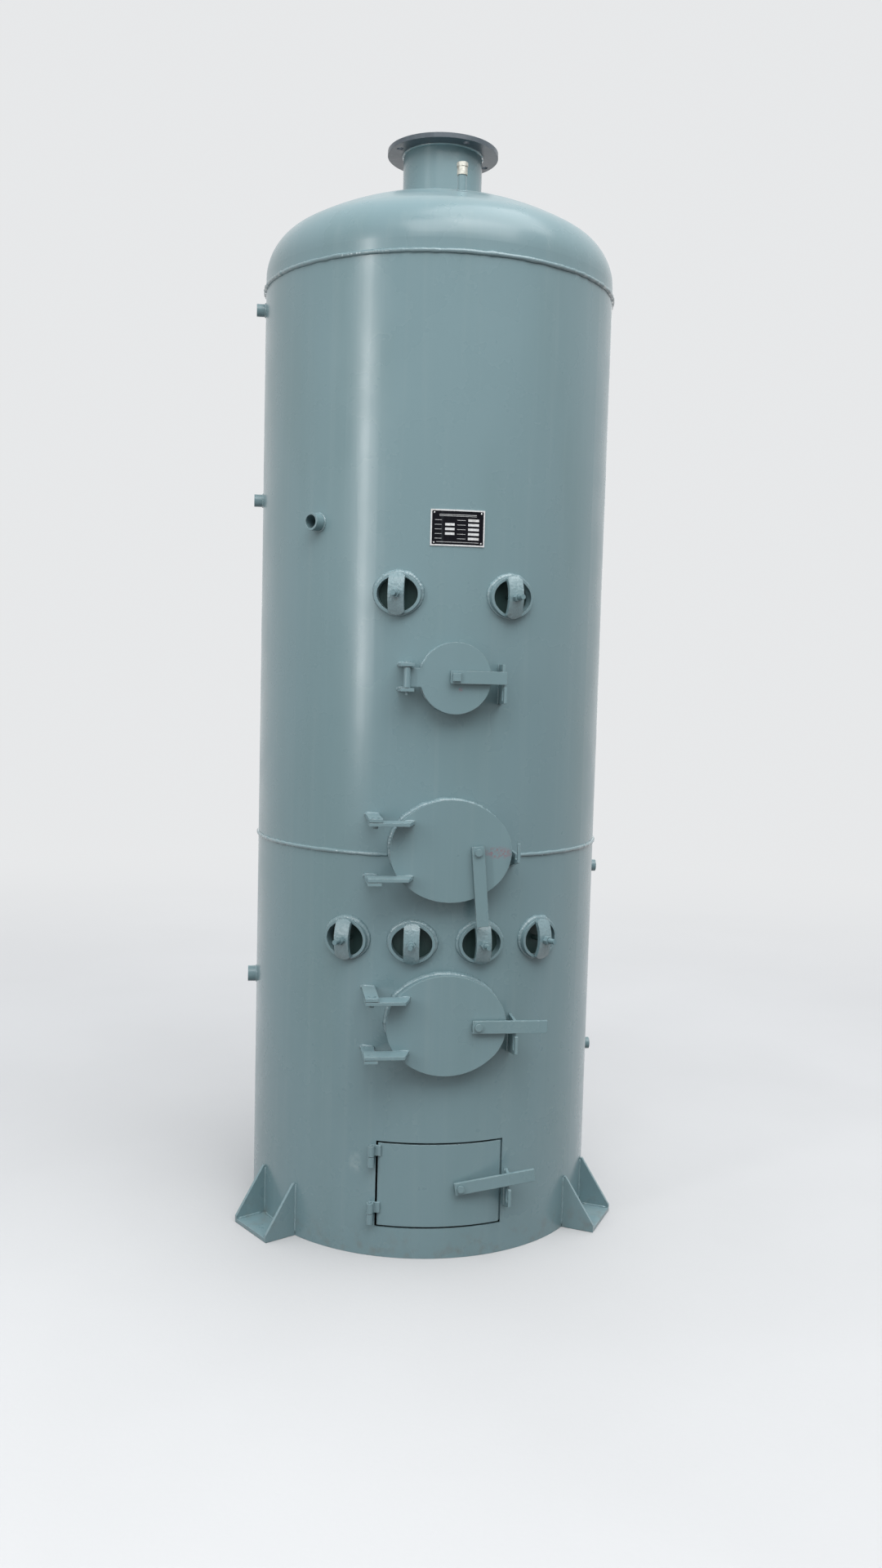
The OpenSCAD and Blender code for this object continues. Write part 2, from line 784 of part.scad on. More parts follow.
// Barrel of one knuckle with the web down to its leaf
module hinge_knuckle(z, side) {
  at_deg(-ash_pin_deg) {
    translate([0, -ash_pin_r, z]) cylinder(r = knuckle_barrel_r, h = knuckle_h);
    translate([side > 0 ? 0 : -knuckle_barrel_r, -ash_pin_r, z])
      cube([knuckle_barrel_r, ash_pin_out - seat - 1, knuckle_h]);
  }
  hinge_leaf(z, side);
}

module ash_door() {
  color(paint) {
    intersection() {
      translate([0, 0, ash_z]) difference() {
        cylinder(r = shell_r, h = ash_h);
        translate([0, 0, -1]) cylinder(r = inner_r, h = ash_h + 2);
      }
      translate([-ash_w / 2, -far, 0]) cube([ash_w, far, head_z]);
    }
    difference() {
      union() {
        for (h = [ash_hinge_low, ash_hinge_high]) hinge_knuckle(ash_z + h + knuckle_h + arm_gap, 1);
        for (h = [ash_hinge_low, ash_hinge_high]) intersection() {
          at_deg(-ash_pin_deg) translate([ash_pin_off + 2, -far, ash_z + h + knuckle_h + arm_gap])
            cube([leaf_reach - 2, far, knuckle_h]);
          translate([0, 0, ash_z + h]) difference() {
            cylinder(r = shell_r + 1, h = 3 * knuckle_h);
            translate([0, 0, -1]) cylinder(r = shell_r - 1, h = 3 * knuckle_h + 2);
          }
        }
      }
      at_deg(-ash_pin_deg) translate([0, -ash_pin_r, 0]) cylinder(r = ash_hinge_r + run, h = head_z);
    }
    latch_pivot(ash_pivot_x, ash_pivot_z, shell_r, false);
    translate([ash_pivot_x, 0, ash_pivot_z]) run_front(shell_r - shell_t + 2, shell_r) circle(boss_r);
  }
}

// Fixed knuckles and pins of the ash door hinges
module ash_door_hinges() {
  color(paint) for (h = [ash_hinge_low, ash_hinge_high]) {
    hinge_knuckle(ash_z + h, -1);
    at_deg(-ash_pin_deg) translate([0, -ash_pin_r, ash_z + h + knuckle_h - 1])
      cylinder(r = ash_hinge_r, h = knuckle_h + arm_gap + 4);
  }
}

// Strip inside the shell that the ash door shuts against
module ash_door_stop() {
  edge = ash_w / 2 + ash_gap;
  color(paint) intersection() {
    translate([0, 0, ash_z]) difference() {
      cylinder(r = inner_r - seat, h = ash_h);
      translate([0, 0, -1]) cylinder(r = inner_r - seat - shell_t, h = ash_h + 2);
    }
    translate([edge - stop_w / 2, -far, 0]) cube([stop_w, far, head_z]);
  }
}

// Lugs on the shell with their pins
module fire_lugs(z) {
  top = z + arm_up + lug_t / 2 + arm_gap;
  low = z - arm_down - lug_t / 2 - arm_gap - lug_t;
  difference() {
    for (h = [top, low]) translate([-fire_pin_x - lug_w / 2, -fire_pin_y - lug_nose, h])
      cube([lug_w, fire_pin_y + lug_nose - inner_r + past, lug_t]);
    cylinder(r = shell_r + seat, h = head_z);
  }
  translate([-fire_pin_x, -fire_pin_y, top - arm_gap - lug_t - 7])
    cylinder(r = pin_r, h = 2 * lug_t + arm_gap + 7);
  translate([-fire_pin_x, -fire_pin_y, top + lug_t - 0.5]) cylinder(r = pin_r + 3, h = 3.5);
  translate([-fire_pin_x, -fire_pin_y, low + 1]) cylinder(r = pin_r, h = 2 * lug_t + arm_gap - 2);
}

module upper_fire_door_lugs() {
  color(paint) fire_lugs(upper_fire_z);
}

module lower_fire_door_lugs() {
  color(paint) fire_lugs(lower_fire_z);
}

module flue_door_lugs() {
  half = barrel_h / 2 + arm_gap;
  color(paint) {
    difference() {
      for (h = [flue_door_z + half, flue_door_z - half - lug_t])
        translate([-flue_pin_x - lug_w / 2, -flue_pin_y - barrel_r - 2, h])
          cube([lug_w, flue_pin_y + barrel_r - inner_r + past, lug_t]);
      cylinder(r = shell_r + seat, h = head_z);
    }
    translate([-flue_pin_x, -flue_pin_y, flue_door_z - half - lug_t - 8])
      cylinder(r = flue_hinge_r, h = 2 * half + 2 * lug_t + 8);
    translate([-flue_pin_x, -flue_pin_y, flue_door_z + half + lug_t - 0.5]) cylinder(r = flue_hinge_r + 3, h = 4.5);
  }
}

// Latch bar along +X from its pivot, turned by an angle
module latch_bar(x, z, back, length, deg) {
  translate([x, 0, z]) rotate([0, -deg, 0]) run_front(back, back + bar_t) difference() {
    translate([-bar_tail, -bar_w / 2]) square([bar_tail + length, bar_w]);
    circle(pivot_r + run);
  }
}

module flue_door_latch() {
  color(paint) latch_bar(0, flue_pivot_z, bar_back, flue_bar_len, 0);
}

module upper_fire_door_latch() {
  color(paint) latch_bar(upper_pivot_x, upper_fire_z, bar_back, upper_bar_len, upper_bar_deg - 90);
}

module lower_fire_door_latch() {
  color(paint) latch_bar(lower_pivot_x, lower_fire_z, bar_back, lower_bar_len, 0);
}

module ash_door_latch() {
  color(paint) latch_bar(ash_pivot_x, ash_pivot_z, ash_bar_back, ash_bar_len, ash_bar_deg);
}

// Hooked keeper plate, open at the top, for a latch bar whose back lies at the given distance
module keeper(x, lip_z, back, throat, back_up, foot) {
  in_y = back - keeper_clear;
  out_y = back + bar_t + keeper_clear;
  low = lip_z - throat;
  root = inner_r - past;
  skin_y = sqrt(shell_r * shell_r - x * x);
  difference() {
    translate([x - keeper_t / 2, 0, 0]) rotate([90, 0, 90]) linear_extrude(height = keeper_t) polygon([
      [-root, low - foot], [-skin_y, low - foot],
      [-out_y - keeper_lip, low - keeper_floor], [-out_y - keeper_lip, lip_z],
      [-out_y, lip_z], [-out_y, low], [-in_y, low],
      [-in_y, lip_z + back_up], [-root, lip_z + back_up]
    ]);
    cylinder(r = shell_r + seat, h = head_z);
  }
}

module door_keepers() {
  lip_drop = bar_w / 2 + keeper_clear;
  upper_throat = upper_lip_up + bar_w / 2 + 1;
  ash_rise = (ash_keeper_x - ash_pivot_x) * tan(ash_bar_deg);
  color(paint) {
    keeper(flue_keeper_x, flue_pivot_z - lip_drop, bar_back, flue_keeper_throat, flue_keeper_back,
      flue_keeper_foot);
    keeper(upper_keeper_x, upper_fire_z + upper_lip_up, bar_back, upper_throat, -keeper_back_drop,
      keeper_foot);
    keeper(lower_keeper_x, lower_fire_z - lip_drop, bar_back, keeper_throat, keeper_back, keeper_foot);
    keeper(ash_keeper_x, ash_pivot_z + ash_rise - lip_drop - 1, ash_bar_back, keeper_throat, keeper_back,
      keeper_foot);
  }
}

// Furnace inside the water jacket
module furnace_cuts() {
  a = fire_a - fire_lip - fire_ring_t;
  b = fire_b - fire_lip - fire_ring_t;
  for (z = [upper_fire_z, lower_fire_z]) translate([0, 0, z]) run_front(0, far)
    oval(a, b, fire_end_r - fire_lip - fire_ring_t);
  translate([0, 0, flue_door_z]) run_front(0, far) circle(flue_ring_r - flue_ring_t);
}

module furnace_front() {
  color(soot) difference() {
    translate([0, 0, jacket_z]) wall(furnace_r, furnace_t, crown_z - jacket_z, -panel_half_deg, panel_half_deg);
    furnace_cuts();
  }
}

module furnace_left() {
  color(soot) translate([0, 0, jacket_z])
    wall(furnace_r, furnace_t, crown_z - jacket_z, -180, -panel_half_deg);
}

module furnace_right() {
  color(soot) translate([0, 0, jacket_z])
    wall(furnace_r, furnace_t, crown_z - jacket_z, panel_half_deg, 180);
}

module furnace_crown() {
  color(soot) translate([0, 0, crown_z]) difference() {
    cylinder(r = furnace_r, h = crown_t);
    translate([0, 0, -1]) cylinder(r = neck_in_r, h = crown_t + 2);
  }
}

module flue_tube() {
  low = crown_z + crown_t;
  color(soot) translate([0, 0, low]) difference() {
    cylinder(r = neck_r, h = flue_split_z - low);
    translate([0, 0, -1]) cylinder(r = neck_in_r, h = flue_split_z - low + 2);
  }
}

module water_grate_tubes() {
  count = floor((furnace_in_r - 2 * tube_r) / tube_pitch);
  color(soot) intersection() {
    for (i = [-count : count]) translate([i * tube_pitch, 0, hand_low_z]) run_front(-furnace_r, furnace_r)
      difference() {
        circle(tube_r);
        circle(tube_r - tube_t);
      }
    cylinder(r = furnace_in_r - seat, h = crown_z);
  }
}

module fire_grate() {
  r_out = furnace_in_r - 4;
  count = floor((r_out - grate_bar) / grate_pitch);
  color(cast) translate([0, 0, grate_z - grate_t]) {
    difference() {
      cylinder(r = r_out, h = grate_t);
      translate([0, 0, -1]) cylinder(r = r_out - grate_rim, h = grate_t + 2);
    }
    intersection() {
      for (i = [-count : count]) translate([i * grate_pitch - grate_bar / 2, -r_out, 0])
        cube([grate_bar, 2 * r_out, grate_t]);
      cylinder(r = r_out - 1, h = grate_t);
    }
  }
}

module grate_ledge() {
  color(soot) translate([0, 0, grate_z - grate_t - ledge_h]) difference() {
    cylinder(r = furnace_in_r - seat, h = ledge_h);
    translate([0, 0, -1]) cylinder(r = furnace_in_r - ledge_w, h = ledge_h + 2);
  }
}

module jacket_base_ring() {
  color(soot) translate([0, 0, jacket_z]) difference() {
    cylinder(r = inner_r - seat, h = jacket_t);
    translate([0, 0, -1]) cylinder(r = furnace_r + seat, h = jacket_t + 2);
  }
}

lower_shell_front();
lower_shell_left();
lower_shell_right();
upper_shell_front();
upper_shell_left();
upper_shell_right();
top_head();
chimney_neck();
chimney_flange();
vent_nipple();
vent_cap();
floor_plate();
feet();
sockets();
nameplate();
handhole_rings();
handhole_covers();
handhole_yokes();
handhole_nuts();
flue_door_ring();
upper_fire_door_ring();
lower_fire_door_ring();
ash_door_stop();
flue_door();
upper_fire_door();
lower_fire_door();
ash_door();
flue_door_lugs();
upper_fire_door_lugs();
lower_fire_door_lugs();
ash_door_hinges();
flue_door_latch();
upper_fire_door_latch();
lower_fire_door_latch();
ash_door_latch();
door_keepers();
furnace_front();
furnace_left();
furnace_right();
furnace_crown();
flue_tube();
water_grate_tubes();
fire_grate();
grate_ledge();
jacket_base_ring();
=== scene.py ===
import math

import bpy
from mathutils import Matrix, Vector, noise


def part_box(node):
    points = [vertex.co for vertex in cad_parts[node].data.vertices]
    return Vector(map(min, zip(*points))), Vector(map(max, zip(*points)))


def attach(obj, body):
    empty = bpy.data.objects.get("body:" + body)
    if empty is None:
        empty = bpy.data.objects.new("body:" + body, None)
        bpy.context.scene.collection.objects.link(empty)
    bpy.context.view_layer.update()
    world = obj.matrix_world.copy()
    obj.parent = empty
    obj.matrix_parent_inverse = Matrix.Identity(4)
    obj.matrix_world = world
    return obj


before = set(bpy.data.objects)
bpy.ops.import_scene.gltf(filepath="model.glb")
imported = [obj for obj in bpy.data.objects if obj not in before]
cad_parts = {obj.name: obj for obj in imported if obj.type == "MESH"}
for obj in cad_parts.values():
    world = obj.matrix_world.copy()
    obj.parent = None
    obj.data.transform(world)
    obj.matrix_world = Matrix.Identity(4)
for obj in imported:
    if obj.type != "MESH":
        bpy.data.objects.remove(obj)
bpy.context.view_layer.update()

# Sizes in metres, taken from the frame where it has them. Ovals have two half widths and an end radius
SHELL_R = 0.450
FLOOR_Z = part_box("floor_plate")[0].z
SEAM_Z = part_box("lower_shell_front")[1].z
HEAD_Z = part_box("upper_shell_front")[1].z
NECK_R = 0.102
FLANGE_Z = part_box("chimney_flange")[0].z
FIRE_A, FIRE_B, FIRE_E = 0.139, 0.116, 0.100
HAND_A, HAND_B, HAND_E = 0.056, 0.049, 0.042
FLUE_R = 0.0795
UPPER_FIRE_Z = sum(c.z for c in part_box("upper_fire_door")) / 2
LOWER_FIRE_Z = sum(c.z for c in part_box("lower_fire_door")) / 2
FLUE_Z = sum(c.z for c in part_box("flue_door")) / 2
NUT_HALF = 0.0095
HAND_LOW_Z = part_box("handhole_nuts")[0].z + NUT_HALF
HAND_HIGH_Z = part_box("handhole_nuts")[1].z - NUT_HALF
HANDHOLES = [(-31.4, HAND_LOW_Z), (-10.5, HAND_LOW_Z), (10.5, HAND_LOW_Z), (31.4, HAND_LOW_Z),
             (-17.3, HAND_HIGH_Z), (17.3, HAND_HIGH_Z)]
RIM_R = SHELL_R + 0.012
YOKE_TOP_R = RIM_R + 0.020
CROWN_R, KNUCKLE_R = 0.760, 0.130
DOME_Z = HEAD_Z + 0.030


def head_top(r):
    """Height of the dished head's crown at a distance from the axis."""
    drop = math.sqrt((CROWN_R - KNUCKLE_R) ** 2 - (SHELL_R - KNUCKLE_R) ** 2)
    return DOME_Z - drop + math.sqrt(CROWN_R ** 2 - r ** 2)


# Materials
class Nodes:
    """A small helper that fills a node tree."""

    def __init__(self, tree):
        self.tree = tree
        self.tree.nodes.clear()

    def node(self, kind, **settings):
        made = self.tree.nodes.new(kind)
        for key, value in settings.items():
            setattr(made, key, value)
        return made

    def put(self, socket, value):
        """Links a socket, or sets a number or colour."""
        if hasattr(value, "is_linked"):
            self.tree.links.new(value, socket)
        else:
            socket.default_value = value

    def math(self, operation, a, b=0.0):
        made = self.node("ShaderNodeMath", operation=operation)
        self.put(made.inputs[0], a)
        self.put(made.inputs[1], b)
        return made.outputs[0]

    def axis(self, vector, which):
        made = self.node("ShaderNodeSeparateXYZ")
        self.put(made.inputs[0], vector)
        return made.outputs[which]

    def map_range(self, value, low, high, to_low, to_high, shape):
        made = self.node("ShaderNodeMapRange", interpolation_type=shape)
        self.put(made.inputs["Value"], value)
        for name, number in (("From Min", low), ("From Max", high), ("To Min", to_low), ("To Max", to_high)):
            made.inputs[name].default_value = number
        return made.outputs[0]

    def span(self, value, low, high, to_low=0.0, to_high=1.0):
        """Turns low to high into to_low to to_high, with soft ends."""
        return self.map_range(value, low, high, to_low, to_high, "SMOOTHSTEP")

    def seen(self):
        """1 for rays that show a surface, 0 for those that only carry its light to others."""
        path = self.node("ShaderNodeLightPath")
        seen = self.math("MAXIMUM", path.outputs["Is Camera Ray"], path.outputs["Is Glossy Ray"])
        return self.math("MAXIMUM", seen, path.outputs["Is Transmission Ray"])

    def blend(self, factor, a, b):
        """Mixes two shaders."""
        made = self.node("ShaderNodeMixShader")
        for socket, value in zip(made.inputs, (factor, a, b)):
            self.put(socket, value)
        return made.outputs[0]


class Shader(Nodes):
    """A small helper that builds one procedural material."""

    def __init__(self, name):
        self.mat = bpy.data.materials.new(name)
        self.mat.use_nodes = True
        super().__init__(self.mat.node_tree)
        self.surface = self.node("ShaderNodeOutputMaterial").inputs[0]
        self.bsdf = self.node("ShaderNodeBsdfPrincipled")
        self.put(self.surface, self.bsdf.outputs[0])
        self.object = self.node("ShaderNodeTexCoord").outputs["Object"]
        self.normal = self.node("ShaderNodeNewGeometry").outputs["Normal"]

    def vector_math(self, operation, a, b=None):
        made = self.node("ShaderNodeVectorMath", operation=operation)
        self.put(made.inputs[0], a)
        if b is not None:
            self.put(made.inputs[1], b)
        return made.outputs["Value" if operation in ("LENGTH", "DOT_PRODUCT") else "Vector"]

    def stretched(self, x, y, z):
        made = self.node("ShaderNodeMapping")
        self.put(made.inputs["Vector"], self.object)
        made.inputs["Scale"].default_value = (x, y, z)
        return made.outputs[0]

    def noise(self, scale, detail=4.0, rough=0.55, vector=None):
        made = self.node("ShaderNodeTexNoise")
        self.put(made.inputs["Vector"], vector or self.object)
        made.inputs["Scale"].default_value = scale
        made.inputs["Detail"].default_value = detail
        made.inputs["Roughness"].default_value = rough
        return made.outputs["Fac"]

    def mix(self, factor, a, b):
        """Mixes two colours."""
        made = self.node("ShaderNodeMix", data_type="RGBA")
        self.put(made.inputs[0], factor)
        for socket, colour in ((made.inputs[6], a), (made.inputs[7], b)):
            self.put(socket, (*colour, 1.0) if isinstance(colour, tuple) else colour)
        return made.outputs[2]

    def off_axis(self):
        """Distance from the boiler's axis."""
        return self.vector_math("LENGTH", self.vector_math("MULTIPLY", self.object, (1.0, 1.0, 0.0)))

    def spot(self, centre, reach):
        """1 at the centre of an ellipsoid, 0 outside it."""
        away = self.vector_math("DIVIDE", self.vector_math("SUBTRACT", self.object, centre), reach)
        return self.span(self.vector_math("LENGTH", away), 0.25, 1.0, 1.0, 0.0)

    def soft_edge(self, radius):
        made = self.node("ShaderNodeBevel", samples=4)
        made.inputs["Radius"].default_value = radius
        return made.outputs[0]

    def edge_mask(self, rounded):
        """1 on the edges that soft_edge has rounded."""
        return self.span(self.vector_math("DOT_PRODUCT", rounded, self.normal), 0.80, 0.985, 1.0, 0.0)

    def bump(self, height, distance, strength=1.0, below=None):
        made = self.node("ShaderNodeBump")
        made.inputs["Strength"].default_value = strength
        made.inputs["Distance"].default_value = distance
        self.put(made.inputs["Height"], height)
        if below is not None:
            self.put(made.inputs["Normal"], below)
        return made.outputs[0]

    def finish(self, colour, rough, normal, **fixed):
        self.put(self.bsdf.inputs["Base Color"], colour)
        self.put(self.bsdf.inputs["Roughness"], rough)
        self.put(self.bsdf.inputs["Normal"], normal)
        for key, value in fixed.items():
            self.bsdf.inputs[key.replace("_", " ")].default_value = value
        return self.mat


# Marks on the paint: centre and reach along x, y and z
PRIMER_RUBS = [((0.114, -0.489, 1.009), (0.052, 0.02, 0.019)),
               ((0.012, -0.489, 1.392), (0.007, 0.02, 0.009))]
RUB_COLOUR = (0.27, 0.125, 0.155)
PALE_SCUFFS = [((-0.205, -0.401, 0.229), (0.020, 0.03, 0.034))]
SCUFF_COLOUR = (0.36, 0.45, 0.46)


def tones(s, base, light, dark):
    """Broad shifts of tone."""
    broad = s.noise(1.1, 2.0, 0.45)
    colour = s.mix(s.span(broad, 0.30, 0.70), base, light)
    drift = s.noise(2.4, 3.0, 0.5, s.stretched(2.0, 2.0, 0.5))
    return s.mix(s.math("MULTIPLY", s.span(drift, 0.42, 0.78), 0.6), colour, dark)


def streaks(s, colour):
    """Faint runs of tone down the shell."""
    streak = s.noise(1.0, 4.0, 0.55, s.stretched(42.0, 42.0, 1.1))
    return s.mix(s.math("MULTIPLY", s.span(streak, 0.50, 0.80), 0.13), colour, (0.29, 0.37, 0.38))


def dust_mask(s):
    """Dust on what faces up."""
    up = s.span(s.axis(s.normal, 2), 0.55, 0.98)
    patches = s.span(s.noise(11.0, 5.0, 0.55), 0.30, 0.75)
    return s.math("MULTIPLY", s.math("MULTIPLY", up, patches), 0.22)


def earth(s, colour):
    """Earth splashed on what is near the floor."""
    low = s.span(s.axis(s.object, 2), 0.0, 0.09, 1.0, 0.0)
    splash = s.span(s.noise(34.0, 6.0, 0.62), 0.46, 0.74)
    return s.mix(s.math("MULTIPLY", s.math("MULTIPLY", low, splash), 0.38), colour, (0.17, 0.145, 0.11))


def smear(s, colour, places, scale, low, high, amount, tint):
    """Broken smears of another colour at places, each a centre and a reach."""
    for centre, reach in places:
        mark = s.math("MULTIPLY", s.spot(centre, reach), s.span(s.noise(scale, 4.0, 0.6), low, high))
        colour = s.mix(s.math("MULTIPLY", mark, amount), colour, tint)
    return colour


def worn_and_highlit_edges(s, colour, edge, wear_and_highlight):
    """Edges that are rubbed pale or rusty; the pale rub is partly a painted highlight along the edges."""
    rubbed_and_highlit = s.math("MULTIPLY", edge, s.span(s.noise(90.0, 4.0, 0.6), 0.44, 0.60))
    # Pale edge colour: partly rubbed paint, partly a painted highlight where the edges catch the light
    colour = s.mix(s.math("MULTIPLY", rubbed_and_highlit, 0.70 * wear_and_highlight), colour, (0.40, 0.48, 0.48))
    rust = s.math("MULTIPLY", edge, s.span(s.noise(60.0, 5.0, 0.65), 0.60, 0.70))
    return s.mix(s.math("MULTIPLY", rust, 0.8 * wear_and_highlight), colour, (0.12, 0.07, 0.045))


def relief(s, normal, waves, lumps, chips):
    """Waves of the plate, orange peel, runs, lumps and chips."""
    normal = s.bump(s.noise(3.0, 1.5, 0.4, s.stretched(1.0, 1.0, 0.55)), waves, 1.0, normal)
    normal = s.bump(s.noise(310.0, 2.0, 0.5), 0.00004, 0.5, normal)
    runs = s.span(s.noise(1.0, 3.0, 0.5, s.stretched(55.0, 55.0, 3.5)), 0.50, 0.90)
    normal = s.bump(runs, 0.0003, 0.5, normal)
    if lumps:
        normal = s.bump(s.noise(120.0, 3.0, 0.55), lumps, 1.0, normal)
    return s.bump(chips, -0.00015, 0.6, normal)


def paint(name, base, light, dark, waves=0.0022, lumps=0.0, rough=0.27, wear_and_highlight=0.5, round_edge=0.0,
          rubs=(), scuffs=(), coat=0.32, shine=0.4, recess_shade=None):
    """Glossy enamel. One argument gives a darker colour far inside the shell, painted shade for the recesses
    there; waves and lumps are bump depths in metres.
    """
    s = Shader(name)
    colour = tones(s, base, light, dark)
    # Painted shade: a darker colour far inside the shell, for the shade in the handhole recesses
    if recess_shade:
        recess_shade_mask = s.span(s.off_axis(), SHELL_R + 0.004, SHELL_R + 0.014, 1.0, 0.0)
        colour = s.mix(recess_shade_mask, colour, recess_shade)
    colour = streaks(s, colour)
    dust = dust_mask(s)
    colour = earth(s, s.mix(dust, colour, (0.34, 0.37, 0.35)))
    chips = s.span(s.noise(150.0, 4.0, 0.6), 0.755, 0.785)
    colour = s.mix(s.math("MULTIPLY", chips, 0.6 * wear_and_highlight), colour, (0.13, 0.10, 0.075))
    colour = smear(s, colour, rubs, 210.0, 0.40, 0.62, 0.75, RUB_COLOUR)
    colour = smear(s, colour, scuffs, 90.0, 0.30, 0.70, 0.6, SCUFF_COLOUR)
    gloss = s.span(s.noise(7.0, 4.0, 0.55), 0.25, 0.75, rough - 0.05, rough + 0.08)
    gloss = s.math("ADD", gloss, s.math("MULTIPLY", dust, 0.6))
    rounded = None
    if round_edge:
        rounded = s.soft_edge(round_edge)
        colour = worn_and_highlit_edges(s, colour, s.edge_mask(rounded), wear_and_highlight)
    normal = relief(s, rounded, waves, lumps, chips)
    return s.finish(colour, gloss, normal, Coat_Weight=coat, Coat_Roughness=0.18, Specular_IOR_Level=shine)


def rough_steel(name, base, light, dark, rough=0.7, metallic=0.15, grain=0.0006):
    s = Shader(name)
    colour = s.mix(s.span(s.noise(6.0, 5.0, 0.6), 0.35, 0.65), base, light)
    colour = s.mix(s.span(s.noise(26.0, 6.0, 0.65), 0.5, 0.7), colour, dark)
    rough_out = s.span(s.noise(18.0, 4.0, 0.6), 0.3, 0.7, rough - 0.12, rough + 0.14)
    normal = s.bump(s.noise(60.0, 6.0, 0.65), grain)
    normal = s.bump(s.noise(420.0, 3.0, 0.5), 0.0001, 0.7, normal)
    return s.finish(colour, rough_out, normal, Metallic=metallic)


def bright_steel(name, base, light, dark, rough=0.38):
    s = Shader(name)
    cells = s.node("ShaderNodeTexVoronoi", feature="F1")
    s.put(cells.inputs["Vector"], s.object)
    cells.inputs["Scale"].default_value = 260.0
    colour = s.mix(s.span(s.axis(cells.outputs["Color"], 0), 0.2, 0.8), base, light)
    grime = s.span(s.noise(70.0, 6.0, 0.6), 0.48, 0.68)
    colour = s.mix(s.math("MULTIPLY", grime, 0.55), colour, dark)
    rough_out = s.math("ADD", s.math("MULTIPLY", grime, 0.25), rough)
    normal = s.bump(s.noise(240.0, 4.0, 0.6), 0.00012)
    return s.finish(colour, rough_out, normal, Metallic=0.85)


GREENS = (0.174, 0.270, 0.294), (0.192, 0.292, 0.316), (0.155, 0.245, 0.258)
PAINT = paint("green_paint", *GREENS, scuffs=PALE_SCUFFS)
FITTING = paint("fitting_paint", *GREENS, waves=0.0006, lumps=0.0002, rough=0.30, wear_and_highlight=1.0, round_edge=0.0021,
                rubs=PRIMER_RUBS)
CAST = paint("thick_paint", *GREENS, waves=0.0004, lumps=0.0024, rough=0.20, wear_and_highlight=0.9,
             round_edge=0.0022, coat=0.8, shine=0.5)
WELD = paint("weld_paint", *GREENS, waves=0.0004, lumps=0.0010, rough=0.22, wear_and_highlight=0.4,
             coat=0.7, shine=0.5)
# Chimney flange: a dark blue-grey that paints the shade of its underside, darker than its real green paint
FLANGE_PAINTED_SHADE = paint("flange_painted_shade", (0.062, 0.080, 0.098), (0.080, 0.103, 0.122), (0.045, 0.056, 0.066),
              waves=0.0006, lumps=0.0003, rough=0.40, wear_and_highlight=0.8, round_edge=0.0014)
# Handhole covers: the green, with a dark teal painted shade far inside the shell where the recess lies in
# shade
HOLE_PAINT_AND_SHADE = paint("hole_paint_and_painted_shade", *GREENS, waves=0.0004, lumps=0.0002, rough=0.42, wear_and_highlight=0.3,
             coat=0.0, shine=0.25, recess_shade=(0.038, 0.074, 0.070))
ZINC = bright_steel("zinc_plate", (0.50, 0.50, 0.45), (0.60, 0.60, 0.54), (0.22, 0.21, 0.17), rough=0.46)
LABEL = paint("label_enamel", (0.006, 0.006, 0.009), (0.009, 0.009, 0.012), (0.004, 0.004, 0.006),
              waves=0.0002, rough=0.5, wear_and_highlight=0.2, coat=0.0, shine=0.05)
LABEL_METAL = bright_steel("label_metal", (0.66, 0.67, 0.68), (0.76, 0.77, 0.77), (0.36, 0.35, 0.33),
                           rough=0.40)
MILL = rough_steel("mill_steel", (0.10, 0.095, 0.09), (0.15, 0.135, 0.12), (0.12, 0.07, 0.045))
IRON = rough_steel("grate_iron", (0.055, 0.052, 0.05), (0.085, 0.08, 0.075), (0.09, 0.05, 0.032),
                   0.78, 0.1, 0.0012)

LOOKS = {
    "chimney_flange": FLANGE_PAINTED_SHADE, "handhole_covers": HOLE_PAINT_AND_SHADE, "vent_cap": ZINC,
    "handhole_nuts": FITTING, "handhole_yokes": CAST, "nameplate": LABEL_METAL,
    "floor_plate": MILL, "fire_grate": IRON,
    "furnace_front": MILL, "furnace_left": MILL, "furnace_right": MILL, "furnace_crown": MILL,
    "flue_tube": MILL, "water_grate_tubes": MILL, "grate_ledge": MILL, "jacket_base_ring": MILL,
}
SMOOTH_SKIN = ("lower_shell_front", "lower_shell_left", "lower_shell_right", "upper_shell_front",
               "upper_shell_left", "upper_shell_right", "top_head", "chimney_neck")
for name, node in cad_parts.items():
    look = LOOKS.get(name, PAINT if name in SMOOTH_SKIN else FITTING)
    node.data.materials.clear()
    node.data.materials.append(look)


# Making of pieces
BEAD_STEP, SEAM_STEP, BEAD_SIDES, RIPPLE_PITCH = 0.0024, 0.0026, 7, 0.0075


def joined(parts):
    """Verts and faces of several parts as those of one mesh."""
    verts, faces = [], []
    for part_verts, part_faces in parts:
        base = len(verts)
        verts += part_verts
        faces += [tuple(base + i for i in face) for face in part_faces]
    return verts, faces


def add_piece(name, verts, faces, look, body="boiler", slot="green_paint", smooth=True):
    mesh = bpy.data.meshes.new(name)
    mesh.from_pydata([tuple(v) for v in verts], [], faces)
    mesh.materials.append(look)
    if smooth:
        mesh.polygons.foreach_set("use_smooth", [True] * len(mesh.polygons))
    mesh.update()
    piece = bpy.data.objects.new(name, mesh)
    bpy.context.scene.collection.objects.link(piece)
    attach(piece, body)


def turned(deg, u, y, z):
    """The point (u, y, z) turned about the axis, from the front towards +X."""
    a = math.radians(deg)
    return Vector((u * math.cos(a) - y * math.sin(a), u * math.sin(a) + y * math.cos(a), z))


def on_shell(deg, u, z):
    """A point of the shell, u beside the line at deg."""
    return turned(deg, u, -math.sqrt(SHELL_R ** 2 - u ** 2), z)


def ring_faces(rows, sides):
    """Quads between rows of points, each row a ring."""
    faces = []
    for i in range(rows - 1):
        for k in range(sides):
            m = (k + 1) % sides
            faces.append((i * sides + k, i * sides + m, (i + 1) * sides + m, (i + 1) * sides + k))
    return faces


